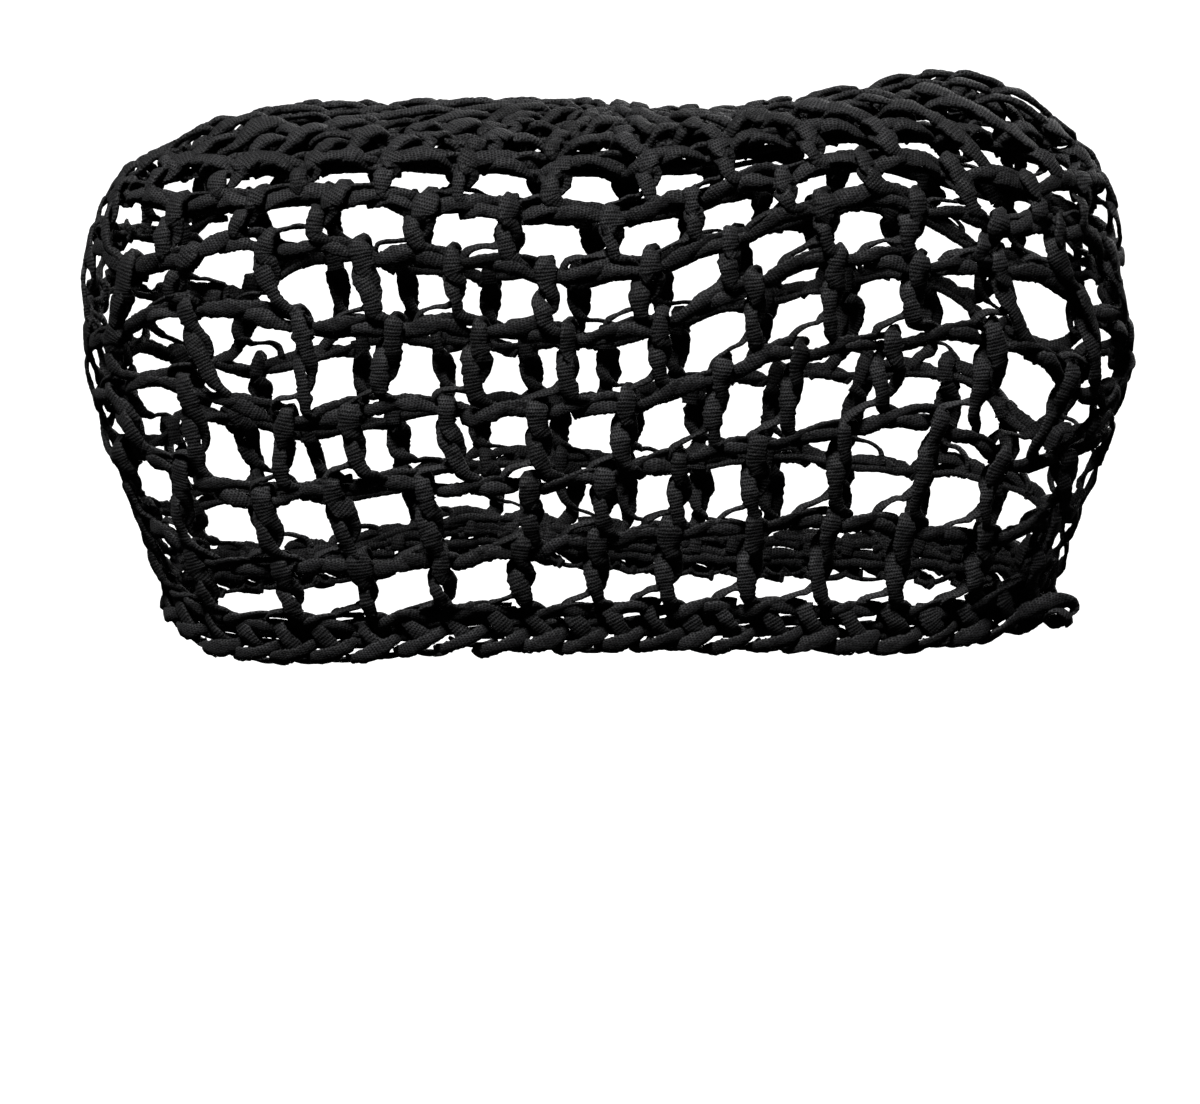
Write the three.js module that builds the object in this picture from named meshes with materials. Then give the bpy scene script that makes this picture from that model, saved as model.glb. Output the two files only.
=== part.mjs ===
// A crocheted wide-mesh cap of flat knitted tape, stretched wide as it is worn over two round shoulders.
// Millimetres, Z up, front towards -Y. The origin is under the middle of the crown, where the cap sits.
import * as THREE from 'three';
import { mergeVertices } from 'three/addons/utils/BufferGeometryUtils.js';

// Layout of the crochet work. A round number counts outwards from the middle of the crown.
const SIDE_POSTS = 18;
const SIDE_ROWS = 5;
const CROWN_POSTS = 12;
const CROWN_FIRST_ROUND = 0.8;
const CROWN_MIDDLE_ROUND = 2.35;
const CROWN_EDGE_ROUND = 4;
const RIM_TOP_ROUND = 11;
const RIM_BOTTOM_ROUND = 12;
const WIDEST_ROUND = 8;
const CROWN_LEAN = 1 / 3;
const SIDE_LEAN = 1 / 5;
const STATIONS_PER_CELL = 3;

// Sizes of the worked tape
const CROWN_STRAND = { postHalfWidth: 3, chainHalfHeight: 2.9 };
const SIDE_STRAND = { postHalfWidth: 4.4, chainHalfHeight: 3.5 };
const POST_DEPTH = 2.6;
const KNOT_DEPTH = 3.2;
const CHAIN_DEPTH = 2.2;
const EDGE_SHARE = 0.42;
const CHAIN_PULL = 1.6;
const SEAM_GAP = 0.4;
const HOLE_CORNERS = 10;
const HOLE_SQUARENESS = 3.2;

// The rim band, the start ring and the end knot
const RIM_STITCHES = 36;
const RIM_DEPTH = 3.4;
const RIM_STITCH_RELIEF = 0.7;
const RIM_EDGE_DROP = 2.4;
const RING_ROUND = 0.42;
const RING_HALF_WIDTH = 3;
const RING_DEPTH = 2.8;
const RING_STATIONS = 24;
const KNOT = { radius: 3.8, tapeRadius: 1.6, steps: 40, sides: 6, turns: 2, crossings: 3 };
const KNOT_TURN = 0.975;
const KNOT_ROUND = 11.35;

// Section of the rim band from its top outside corner round to its top inside corner: how far down as a
// share of the band's height, how far out as a share of its depth, and which way a stitch stands out there
const RIM_SECTION = [
  { down: 0, out: 0.5, relief: 0 },
  { down: 0.25, out: 1, relief: 1 },
  { down: 0.55, out: 0.7, relief: 0 },
  { down: 0.8, out: 1, relief: -1 },
  { down: 1, out: 0, relief: 0 },
  { down: 0.8, out: -1, relief: 1 },
  { down: 0.3, out: -1, relief: 0 },
  { down: 0, out: -0.5, relief: 0 },
];

// Section of the start ring in shares of its half width and its depth
const RING_SECTION = [
  { down: -1, out: 0 },
  { down: -0.5, out: 1 },
  { down: 0.5, out: 1 },
  { down: 1, out: 0 },
  { down: 0.5, out: -1 },
  { down: -0.5, out: -1 },
];

// Form of the stretched cap: half sizes of each round, how square its oval is, and its height at five
// places from the left end to the right end
const FORM_COLUMNS = [
  'left', 'right', 'front', 'back', 'square',
  'leftEnd', 'leftShoulder', 'middle', 'rightShoulder', 'rightEnd',
];
const FORM_ROWS = [
  [10, 10, 6, 6, 2.0, 2, 2, 2, 2, 2],
  [38, 38, 15, 15, 2.1, 1.5, 2, 2.2, 1.5, 0.5],
  [70, 70, 27, 27, 2.3, -1, 0, 1.5, 2.5, 6],
  [100, 100, 39, 39, 2.5, -0.5, -1.5, -1, 6, 11],
  [126, 126, 48, 49, 2.6, -10, -5.5, -6.5, 3, -2],
  [140, 139, 54, 54, 2.6, -19, -16, -19, -6, -17],
  [147, 144, 57, 56, 2.6, -36, -29, -35, -16, -35],
  [148.5, 147, 58, 57, 2.5, -55, -49, -52, -30.5, -54],
  [147.5, 147.5, 57, 57, 2.5, -75, -74, -72, -53.5, -73],
  [143, 141, 55, 54, 2.4, -95, -97, -92, -79.5, -94],
  [136, 134, 52, 51, 2.4, -114, -119, -110.5, -107, -114],
  [129.5, 128.5, 49, 48, 2.4, -131, -135, -131.5, -131, -131],
  [128, 127.5, 48, 46, 2.4, -141.5, -146, -142.5, -142, -138],
];
const HEIGHT_COLUMNS = FORM_COLUMNS.slice(5);

// Places where the net is pushed out of that form: the rim's back rides up and its front sags at the left
const PUSHES = [
  { x: -42, y: 47, z: -132, reach: 34, rise: 9 },
  { x: -84, y: -45, z: -140, reach: 36, rise: -2.5 },
  { x: -114, y: -33, z: -142, reach: 26, rise: -4.5 },
  { x: -46, y: -48, z: -144, reach: 24, rise: 3 },
  { x: 92, y: -42, z: -140, reach: 30, rise: -3.5 },
  { x: 44, y: 42, z: 0, reach: 42, rise: -7 },
];

const FORM = FORM_ROWS.map((row) => Object.fromEntries(FORM_COLUMNS.map((name, i) => [name, row[i]])));

// Smooth curve through evenly spaced values, straight beyond both ends
function throughValues(values, place) {
  const last = values.length - 1;
  const clamped = Math.min(Math.max(place, 0), last);
  const start = Math.min(Math.floor(clamped), last - 1);
  const t = clamped - start;
  const b = values[start];
  const c = values[start + 1];
  const a = start === 0 ? 2 * b - c : values[start - 1];
  const d = start + 1 === last ? 2 * c - b : values[start + 2];
  return b + 0.5 * t * (c - a + t * (2 * a - 5 * b + 4 * c - d + t * (3 * (b - c) + d - a)));
}

function formValue(name, round) {
  return throughValues(FORM.map((row) => row[name]), round);
}

function signedPower(value, power) {
  return Math.sign(value) * Math.abs(value) ** power;
}

// Point of the middle surface at a round and an angle, which is 0 at the right end and a quarter at the back
function formPoint(round, angle) {
  const power = 2 / formValue('square', round);
  const across = signedPower(Math.cos(angle), power);
  const along = signedPower(Math.sin(angle), power);
  const x = formValue(across > 0 ? 'right' : 'left', round) * across;
  const y = formValue(along > 0 ? 'back' : 'front', round) * along;
  const heights = HEIGHT_COLUMNS.map((name) => formValue(name, round));
  const point = new THREE.Vector3(x, y, throughValues(heights, (across + 1) * (heights.length - 1) / 2));
  for (const push of PUSHES) {
    const away = point.distanceTo(new THREE.Vector3(push.x, push.y, push.z)) / push.reach;
    point.z += push.rise * Math.exp(-away * away);
  }
  return point;
}

// Angles that share the widest round out evenly, so that posts stand at equal steps of one turn
const TURN_STEPS = 720;
const turnLengths = [0];
for (let i = 1; i <= TURN_STEPS; i += 1) {
  const before = formPoint(WIDEST_ROUND, (i - 1) / TURN_STEPS * 2 * Math.PI);
  const here = formPoint(WIDEST_ROUND, i / TURN_STEPS * 2 * Math.PI);
  turnLengths.push(turnLengths[i - 1] + before.distanceTo(here));
}

function angleAtTurn(turn) {
  const whole = Math.floor(turn);
  const length = (turn - whole) * turnLengths[TURN_STEPS];
  const after = Math.max(1, turnLengths.findIndex((value) => value >= length));
  const share = (length - turnLengths[after - 1]) / (turnLengths[after] - turnLengths[after - 1]);
  return (whole + (after - 1 + share) / TURN_STEPS) * 2 * Math.PI;
}

const SLOPE_STEP = 0.02;

// Point of the cap: down moves it along the cap away from the crown and out moves it off the surface
function capPoint(round, turn, down = 0, out = 0) {
  const angle = angleAtTurn(turn);
  const here = formPoint(round, angle);
  const upper = formPoint(round - SLOPE_STEP, angle);
  const lower = formPoint(round + SLOPE_STEP, angle);
  const downward = lower.sub(upper).normalize();
  const around = formPoint(round, angle + SLOPE_STEP).sub(formPoint(round, angle - SLOPE_STEP)).normalize();
  const outward = downward.clone().cross(around).normalize();
  return here.addScaledVector(downward, down).addScaledVector(outward, out);
}

// A body as it is built up: its vertices and its triangles
function newBody() {
  return { points: [], faces: [] };
}

function addPoint(body, point) {
  body.points.push(point);
  return body.points.length - 1;
}

function addLayer(body, round, turn, down, depth) {
  return {
    outer: addPoint(body, capPoint(round, turn, down, depth)),
    inner: addPoint(body, capPoint(round, turn, down, -depth)),
  };
}

function addQuad(body, a, b, c, d) {
  body.faces.push([a, b, c], [a, c, d]);
}

function bodyGeometry(body) {
  const geometry = new THREE.BufferGeometry();
  const numbers = body.points.flatMap((point) => point.toArray());
  geometry.setAttribute('position', new THREE.Float32BufferAttribute(numbers, 3));
  geometry.setIndex(body.faces.flat());
  geometry.computeVertexNormals();
  return geometry;
}

// Triangles between two closed loops around one hole, each corner holding its bearing from its loop's middle
function fillBetween(body, rim, hole, layer, flip) {
  const byBearing = (a, b) => a.bearing - b.bearing;
  const outerLoop = [...rim].sort(byBearing);
  const innerLoop = [...hole].sort(byBearing);
  const bearingOf = (loop, i) => loop[i % loop.length].bearing + 2 * Math.PI * Math.floor(i / loop.length);
  let i = 0;
  let j = 0;
  while (i < outerLoop.length || j < innerLoop.length) {
    const a = outerLoop[i % outerLoop.length].at[layer];
    const b = innerLoop[j % innerLoop.length].at[layer];
    const useOuter = j >= innerLoop.length
      || (i < outerLoop.length && bearingOf(outerLoop, i + 1) <= bearingOf(innerLoop, j + 1));
    const c = useOuter
      ? outerLoop[(i + 1) % outerLoop.length].at[layer]
      : innerLoop[(j + 1) % innerLoop.length].at[layer];
    body.faces.push(flip ? [a, c, b] : [a, b, c]);
    if (useOuter) i += 1;
    else j += 1;
  }
}

// The middle line of one chain round: a station under each post above, one further on where that post's
// foot stands, and one between. Posts below pull the chain down where they hook over it, feet pull it up.
function addChain(body, round, shift, above, below) {
  const cells = (above ?? below).posts;
  const lean = above ? above.lean : CROWN_LEAN;
  const shares = [0, lean, (1 + lean) / 2];
  const stations = cells * STATIONS_PER_CELL;
  const chain = { round, shift, stations, turns: [], at: [] };
  for (let i = 0; i < stations; i += 1) {
    const turn = (Math.floor(i / STATIONS_PER_CELL) + shares[i % STATIONS_PER_CELL]) / cells;
    const isFoot = above && i % STATIONS_PER_CELL === 1;
    const isTop = below && i * below.posts % stations === 0;
    const pull = (isTop ? CHAIN_PULL : 0) - (isFoot ? CHAIN_PULL : 0);
    const depth = isTop ? KNOT_DEPTH : isFoot ? POST_DEPTH : CHAIN_DEPTH;
    chain.turns.push(turn);
    chain.at.push(addLayer(body, round, turn, shift + pull, depth));
  }
  return chain;
}

// Stations of a chain along one side of a cell, with their bearing from the middle of the cell
function chainStretch(chain, first, last, down) {
  const turnOf = (i) => chain.turns[i % chain.stations] + Math.floor(i / chain.stations);
  const stretch = [];
  for (let i = first; i <= last; i += 1) {
    const across = (turnOf(i) - turnOf(first)) / (turnOf(last) - turnOf(first));
    stretch.push({ at: chain.at[i % chain.stations], bearing: Math.atan2(down - 0.5, across - 0.5) });
  }
  return stretch;
}

// One cell of the net: half of each strand around it, and the hole in the middle
function addCell(body, strand, upper, lower, row, column, middles) {
  const { posts, lean } = row;
  const top = [column / posts, (column + 1) / posts];
  const bottom = [(column + lean) / posts, (column + 1 + lean) / posts];
  const stationsAbove = upper.stations / posts;
  const placeAt = (across, down) => ({
    round: THREE.MathUtils.lerp(upper.round, lower.round, down),
    turn: THREE.MathUtils.lerp(
      THREE.MathUtils.lerp(top[0], top[1], across),
      THREE.MathUtils.lerp(bottom[0], bottom[1], across),
      down,
    ),
  });
  const pointAt = (across, down) => {
    const place = placeAt(across, down);
    return capPoint(place.round, place.turn);
  };
  const rim = [
    ...chainStretch(upper, column * stationsAbove, (column + 1) * stationsAbove, 0),
    ...chainStretch(lower, column * STATIONS_PER_CELL + 1, (column + 1) * STATIONS_PER_CELL + 1, 1),
    { at: middles[column], bearing: Math.PI },
    { at: middles[(column + 1) % posts], bearing: 0 },
  ];
  const height = pointAt(0.5, 0).distanceTo(pointAt(0.5, 1));
  const holeTop = (strand.chainHalfHeight + upper.shift) / height;
  const holeBottom = 1 - (strand.chainHalfHeight - lower.shift) / height;
  const hole = [];
  for (let i = 0; i < HOLE_CORNERS; i += 1) {
    const angle = (i + 0.5) / HOLE_CORNERS * 2 * Math.PI - Math.PI;
    const sideways = signedPower(Math.cos(angle), 2 / HOLE_SQUARENESS);
    const downways = signedPower(Math.sin(angle), 2 / HOLE_SQUARENESS);
    const down = THREE.MathUtils.lerp(holeTop, holeBottom, (downways + 1) / 2);
    const width = pointAt(0, down).distanceTo(pointAt(1, down));
    const across = 0.5 + sideways * (0.5 - strand.postHalfWidth / width);
    const place = placeAt(across, down);
    hole.push({
      at: addLayer(body, place.round, place.turn, 0, POST_DEPTH * EDGE_SHARE),
      bearing: Math.atan2(down - (holeTop + holeBottom) / 2, across - 0.5),
    });
  }
  fillBetween(body, rim, hole, 'outer', false);
  fillBetween(body, rim, hole, 'inner', true);
  for (let i = 0; i < hole.length; i += 1) {
    const here = hole[i].at;
    const next = hole[(i + 1) % hole.length].at;
    addQuad(body, here.outer, here.inner, next.inner, next.outer);
  }
}

// The free edge of a net beyond its first or last chain
function addFreeEdge(body, chain, down, flip) {
  const edge = chain.at.map((_, i) => (
    addLayer(body, chain.round, chain.turns[i], down, POST_DEPTH * EDGE_SHARE)
  ));
  for (let i = 0; i < chain.stations; i += 1) {
    const next = (i + 1) % chain.stations;
    const rings = [chain.at[i].outer, edge[i].outer, edge[i].inner, chain.at[i].inner];
    const nextRings = [chain.at[next].outer, edge[next].outer, edge[next].inner, chain.at[next].inner];
    for (let k = 0; k < rings.length - 1; k += 1) {
      if (flip) addQuad(body, rings[k], rings[k + 1], nextRings[k + 1], nextRings[k]);
      else addQuad(body, rings[k], nextRings[k], nextRings[k + 1], rings[k + 1]);
    }
  }
}

// Open net given as rows of posts, with a free edge just inside its first and last round
function netGeometry(rows, strand) {
  const body = newBody();
  const chains = [];
  for (let i = 0; i <= rows.length; i += 1) {
    const above = rows[i - 1];
    const below = rows[i];
    const round = below ? below.top : above.bottom;
    const shift = above && below ? 0 : (below ? 1 : -1) * (strand.chainHalfHeight + SEAM_GAP / 2);
    chains.push(addChain(body, round, shift, above, below));
  }
  rows.forEach((row, i) => {
    const middles = [];
    for (let column = 0; column < row.posts; column += 1) {
      const turn = (column + row.lean / 2) / row.posts;
      middles.push(addLayer(body, (row.top + row.bottom) / 2, turn, 0, POST_DEPTH));
    }
    for (let column = 0; column < row.posts; column += 1) {
      addCell(body, strand, chains[i], chains[i + 1], row, column, middles);
    }
  });
  addFreeEdge(body, chains[0], SEAM_GAP / 2, false);
  addFreeEdge(body, chains[rows.length], -SEAM_GAP / 2, true);
  return bodyGeometry(body);
}

// A closed band around the cap whose section is a loop of { down, out } corners for each station
function ringGeometry(round, stations, sectionAt) {
  const body = newBody();
  const rings = [];
  for (let i = 0; i < stations; i += 1) {
    const turn = i / stations;
    rings.push(sectionAt(i).map((corner) => addPoint(body, capPoint(round, turn, corner.down, corner.out))));
  }
  rings.forEach((ring, i) => {
    const next = rings[(i + 1) % stations];
    ring.forEach((corner, k) => {
      const after = (k + 1) % ring.length;
      addQuad(body, corner, ring[after], next[after], next[k]);
    });
  });
  return bodyGeometry(body);
}

// Rows of posts from one round to another, all of one height
function evenRows(from, to, count, posts, lean) {
  return Array.from({ length: count }, (_, i) => ({
    top: from + (to - from) * i / count,
    bottom: from + (to - from) * (i + 1) / count,
    posts,
    lean,
  }));
}

// The start ring: a flat loop of chain around the eye in the middle of the crown
function startRingGeometry() {
  const section = RING_SECTION.map(({ down, out }) => ({
    down: down * RING_HALF_WIDTH,
    out: out * RING_DEPTH,
  }));
  return ringGeometry(RING_ROUND, RING_STATIONS, () => section);
}

// The rim band: wrapped stitches above a braided edge chain, so that each stitch stands out in turn above
// and below, and the lower edge hangs in one scallop for each stitch
function rimBandGeometry() {
  const stations = RIM_STITCHES * 2;
  return ringGeometry(RIM_TOP_ROUND, stations, (i) => {
    const top = capPoint(RIM_TOP_ROUND, i / stations);
    const bottom = capPoint(RIM_BOTTOM_ROUND, i / stations);
    const side = i % 2 === 0 ? RIM_STITCH_RELIEF : -RIM_STITCH_RELIEF;
    const height = top.distanceTo(bottom) + RIM_EDGE_DROP + side;
    return RIM_SECTION.map(({ down, out, relief }) => ({
      down: THREE.MathUtils.lerp(SEAM_GAP / 2, height, down),
      out: out * RIM_DEPTH + relief * side,
    }));
  });
}

// The end knot: the end of the tape tied once around itself against the outside of the rim band
function endKnotGeometry() {
  const { radius, tapeRadius, steps, sides, turns, crossings } = KNOT;
  const knot = new THREE.TorusKnotGeometry(radius, tapeRadius, steps, sides, turns, crossings);
  knot.deleteAttribute('normal');
  knot.deleteAttribute('uv');
  const halfThickness = radius / 2 + tapeRadius;
  const clearOfRim = RIM_DEPTH + RIM_STITCH_RELIEF + SEAM_GAP + halfThickness;
  const middle = capPoint(KNOT_ROUND, KNOT_TURN, 0, clearOfRim);
  const outward = middle.clone().sub(capPoint(KNOT_ROUND, KNOT_TURN)).normalize();
  knot.applyQuaternion(new THREE.Quaternion().setFromUnitVectors(new THREE.Vector3(0, 0, 1), outward));
  knot.translate(middle.x, middle.y, middle.z);
  const closed = mergeVertices(knot);
  closed.computeVertexNormals();
  return closed;
}

// Black nylon tape, the same throughout, a little worn and lighter where it is knotted
function tape(color) {
  return new THREE.MeshStandardMaterial({ color, roughness: 0.85, metalness: 0 });
}

function piece(name, geometry, color) {
  const mesh = new THREE.Mesh(geometry, tape(color));
  mesh.name = name;
  return mesh;
}

const crownRows = [
  { top: CROWN_FIRST_ROUND, bottom: CROWN_MIDDLE_ROUND, posts: CROWN_POSTS, lean: CROWN_LEAN },
  { top: CROWN_MIDDLE_ROUND, bottom: CROWN_EDGE_ROUND, posts: SIDE_POSTS, lean: CROWN_LEAN },
];
const sideRows = evenRows(CROWN_EDGE_ROUND, RIM_TOP_ROUND, SIDE_ROWS, SIDE_POSTS, SIDE_LEAN);

const cap = new THREE.Group();
cap.add(
  piece('start_ring', startRingGeometry(), '#1b1b1c'),
  piece('crown_net', netGeometry(crownRows, CROWN_STRAND), '#19191a'),
  piece('side_net', netGeometry(sideRows, SIDE_STRAND), '#1c1c1d'),
  piece('rim_band', rimBandGeometry(), '#1a1a1b'),
  piece('end_knot', endKnotGeometry(), '#1f1f20'),
);

export default cap;
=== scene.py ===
# A crocheted wide-mesh cap of black knitted nylon tape, stretched wide as it is worn.
# Metres, Z up, front towards -Y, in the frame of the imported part.
import math
import bpy
import numpy as np
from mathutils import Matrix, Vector


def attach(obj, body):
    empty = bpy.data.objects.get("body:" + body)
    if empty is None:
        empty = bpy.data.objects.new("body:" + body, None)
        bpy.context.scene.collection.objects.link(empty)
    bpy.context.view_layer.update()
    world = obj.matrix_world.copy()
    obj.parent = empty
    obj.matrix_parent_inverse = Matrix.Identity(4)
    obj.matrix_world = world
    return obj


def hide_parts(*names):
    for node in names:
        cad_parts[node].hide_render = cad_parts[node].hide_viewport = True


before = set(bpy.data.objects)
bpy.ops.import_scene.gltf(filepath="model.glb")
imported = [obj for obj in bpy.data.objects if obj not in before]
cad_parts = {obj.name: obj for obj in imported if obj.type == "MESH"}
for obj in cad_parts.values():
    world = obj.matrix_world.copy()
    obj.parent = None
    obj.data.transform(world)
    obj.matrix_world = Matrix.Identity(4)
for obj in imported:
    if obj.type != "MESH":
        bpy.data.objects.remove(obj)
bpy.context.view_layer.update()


# Camera, floor and light
# The camera looks along +Y from a little above, a long way off, as the cap is photographed. The cap is held
# up over a plain pale floor. One softbox high in front lights it, a weak one low behind shows its back, and
# the floor throws no light back, so that the far side of the net stays nearly black, as in the picture.
CAMERA_HEIGHT_ANGLE = 12.5
CAMERA_DISTANCE = 1.2
CAMERA_AIM = Vector((-0.0028, 0.0, -0.126))
FRAME_PIXELS_WIDE = 1200
FOCAL_PIXELS = 4152
SENSOR_WIDTH_MM = 36.0
FLOOR_BELOW = 0.6
FLOOR_SIZE = 40.0


def linear_colour(hex_colour):
    values = [int(hex_colour[i:i + 2], 16) / 255 for i in (1, 3, 5)]
    linear = [v / 12.92 if v <= 0.04045 else ((v + 0.055) / 1.055) ** 2.4 for v in values]
    return (*linear, 1.0)


def add_node(tree, kind, settings=None, inputs=None):
    """Adds a node with its settings, and its inputs as values or as the sockets that feed them."""
    node = tree.nodes.new(kind)
    for name, value in (settings or {}).items():
        setattr(node, name, value)
    for socket, value in (inputs or {}).items():
        if isinstance(value, bpy.types.NodeSocket):
            tree.links.new(value, node.inputs[socket])
        else:
            node.inputs[socket].default_value = value
    return node


def new_material(name):
    material = bpy.data.materials.new(name)
    material.use_nodes = True
    material.node_tree.nodes.clear()
    return material, material.node_tree


def add_far_softbox(name, direction, softness_degrees, strength):
    """A softbox so wide and far off that its light is even over the cap and the floor."""
    data = bpy.data.lights.new(name, "SUN")
    data.angle = math.radians(softness_degrees)
    data.energy = strength
    light = bpy.data.objects.new(name, data)
    light.rotation_euler = Vector(direction).to_track_quat("Z", "Y").to_euler()
    bpy.context.scene.collection.objects.link(light)


camera_data = bpy.data.cameras.new("photo_camera")
camera_data.sensor_width = SENSOR_WIDTH_MM
camera_data.lens = SENSOR_WIDTH_MM * FOCAL_PIXELS / FRAME_PIXELS_WIDE
camera = bpy.data.objects.new("photo_camera", camera_data)
height_angle = math.radians(CAMERA_HEIGHT_ANGLE)
camera_offset = Vector((0, -math.cos(height_angle), math.sin(height_angle))) * CAMERA_DISTANCE
camera.location = CAMERA_AIM + camera_offset
camera.rotation_euler = (-camera_offset).to_track_quat("-Z", "Y").to_euler()
bpy.context.scene.collection.objects.link(camera)
bpy.context.scene.camera = camera

floor_mesh = bpy.data.meshes.new("floor")
half_floor = FLOOR_SIZE / 2
floor_mesh.from_pydata(
    [(x * half_floor, y * half_floor, -FLOOR_BELOW) for x, y in ((-1, -1), (1, -1), (1, 1), (-1, 1))],
    [],
    [(0, 1, 2, 3)],
)
floor = bpy.data.objects.new("floor", floor_mesh)
bpy.context.scene.collection.objects.link(floor)
paper, paper_tree = new_material("matt white paper")
paper_shader = add_node(paper_tree, "ShaderNodeBsdfPrincipled", inputs={
    "Base Color": linear_colour("#f4f4f4"),
    "Roughness": 0.9,
    "Specular IOR Level": 0.2,
})
add_node(paper_tree, "ShaderNodeOutputMaterial", inputs={"Surface": paper_shader.outputs["BSDF"]})
floor_mesh.materials.append(paper)
floor.visible_diffuse = False
floor.visible_glossy = False

room = bpy.data.worlds.new("pale room")
room.use_nodes = True
room.node_tree.nodes["Background"].inputs["Color"].default_value = linear_colour("#ffffff")
room.node_tree.nodes["Background"].inputs["Strength"].default_value = 0.01
bpy.context.scene.world = room
add_far_softbox("front_softbox", (-0.28, -0.52, 1.45), 12, 4.8)
add_far_softbox("back_softbox", (0.4, 0.95, 0.4), 45, 1.3)
bpy.context.scene.view_settings.view_transform = "Standard"


# Start ring
# The little ring of chain in the middle of the crown, the first thing worked: one tape lying round the eye
# and twenty-six turns of tape wrapped over it, all drawn into an oval by the stretched crown.
FORM_COLUMNS = (
    "left", "right", "front", "back", "square",
    "left_end", "left_shoulder", "middle", "right_shoulder", "right_end",
)
FORM = np.array([
    (10, 10, 6, 6, 2.0, 2, 2, 2, 2, 2),
    (38, 38, 15, 15, 2.1, 1.5, 2, 2.2, 1.5, 0.5),
    (70, 70, 27, 27, 2.3, -1, 0, 1.5, 2.5, 6),
    (100, 100, 39, 39, 2.5, -0.5, -1.5, -1, 6, 11),
    (126, 126, 48, 49, 2.6, -10, -5.5, -6.5, 3, -2),
    (140, 139, 54, 54, 2.6, -19, -16, -19, -6, -17),
    (147, 144, 57, 56, 2.6, -36, -29, -35, -16, -35),
    (148.5, 147, 58, 57, 2.5, -55, -49, -52, -30.5, -54),
    (147.5, 147.5, 57, 57, 2.5, -75, -74, -72, -53.5, -73),
    (143, 141, 55, 54, 2.4, -95, -97, -92, -79.5, -94),
    (136, 134, 52, 51, 2.4, -114, -119, -110.5, -107, -114),
    (129.5, 128.5, 49, 48, 2.4, -131, -135, -131.5, -131, -131),
    (128, 127.5, 48, 46, 2.4, -141.5, -146, -142.5, -142, -138),
])
PUSHES = (
    # x, y, z, reach, rise
    (-42, 47, -132, 34, 9),
    (-84, -45, -140, 36, -2.5),
    (-114, -33, -142, 26, -4.5),
    (-46, -48, -144, 24, 3),
    (92, -42, -140, 30, -3.5),
    (44, 42, 0, 42, -7),
)
WIDEST_ROUND = 8
SLOPE_STEP = 0.02
DRIFT_ROUNDS = (4, 11)
ROW_WAVES = 9
ROW_WAVE_SHIFT = 1.3
ROW_DRIFT = 0.3
COLUMN_WAVES = 6
COLUMN_WAVE_SHIFT = 2.1
COLUMN_DRIFT = 0.009
RNG = np.random.default_rng(611)


def through_values(values, place):
    """Smooth curve through evenly spaced values, given on the last axis, which runs on past its ends."""
    last = values.shape[-1] - 1
    start = np.clip(np.floor(place).astype(int), 0, last - 1)
    t = place - start
    around = [
        np.take_along_axis(values, np.clip(start + step, 0, last)[..., None], -1)[..., 0]
        for step in (-1, 0, 1, 2)
    ]
    b, c = around[1:3]
    a = np.where(start == 0, 2 * b - c, around[0])
    d = np.where(start + 1 == last, 2 * c - b, around[3])
    return b + 0.5 * t * (c - a + t * (2 * a - 5 * b + 4 * c - d + t * (3 * (b - c) + d - a)))


def form_point(rounds, angle):
    """Points of the cap's middle surface in millimetres, round 0 in the middle of the crown."""
    rounds, angle = np.broadcast_arrays(np.asarray(rounds, float), np.asarray(angle, float))
    value = {
        name: through_values(np.broadcast_to(FORM[:, i], rounds.shape + (len(FORM),)), rounds)
        for i, name in enumerate(FORM_COLUMNS)
    }
    cosine, sine = np.cos(angle), np.sin(angle)
    power = 2 / value["square"]
    across = np.sign(cosine) * np.abs(cosine) ** power
    along = np.sign(sine) * np.abs(sine) ** power
    heights = np.stack([value[name] for name in FORM_COLUMNS[5:]], -1)
    point = np.stack([
        np.where(across > 0, value["right"], value["left"]) * across,
        np.where(along > 0, value["back"], value["front"]) * along,
        through_values(heights, (across + 1) * 2),
    ], -1)
    for x, y, z, reach, rise in PUSHES:
        away = np.linalg.norm(point - (x, y, z), axis=-1) / reach
        point[..., 2] += rise * np.exp(-away ** 2)
    return point


turn_angles = np.linspace(0, 2 * np.pi, 721)
turn_steps = np.linalg.norm(np.diff(form_point(WIDEST_ROUND, turn_angles), axis=0), axis=1)
turn_shares = np.concatenate([[0], np.cumsum(turn_steps)]) / turn_steps.sum()


def angle_at(turn):
    """The angle at a turn, which counts equal lengths of the widest round."""
    whole = np.floor(turn)
    return np.interp(turn - whole, turn_shares, turn_angles) + 2 * np.pi * whole


def drifted(rounds, turn):
    """Rounds and turns where the net drifts on its form, most in the middle of the wall at its two ends."""
    first, last = DRIFT_ROUNDS
    down_the_wall = np.sin(np.pi * np.clip((rounds - first) / (last - first), 0, 1))
    drift = (0.5 + 0.5 * np.cos(4 * np.pi * turn)) * down_the_wall
    row_wave = np.sin(2 * np.pi * ROW_WAVES * turn + ROW_WAVE_SHIFT * rounds)
    column_wave = np.sin(2 * np.pi * COLUMN_WAVES * turn + COLUMN_WAVE_SHIFT * rounds)
    return rounds + ROW_DRIFT * drift * row_wave, turn + COLUMN_DRIFT * drift * column_wave


def surface_at(rounds, turn):
    """Point, steps of one round and of one turn, and outward normal, in millimetres."""
    rounds, turn = drifted(rounds, turn)
    angle = angle_at(turn)
    point = form_point(rounds, angle)
    below, above = form_point(rounds + SLOPE_STEP, angle), form_point(rounds - SLOPE_STEP, angle)
    per_round = (below - above) / (2 * SLOPE_STEP)
    nudge = SLOPE_STEP / 10
    ahead, behind = form_point(rounds, angle_at(turn + nudge)), form_point(rounds, angle_at(turn - nudge))
    per_turn = (ahead - behind) / (2 * nudge)
    outward = np.cross(per_round, per_turn)
    outward /= np.linalg.norm(outward, axis=-1, keepdims=True)
    return point, per_round, per_turn, outward


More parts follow.
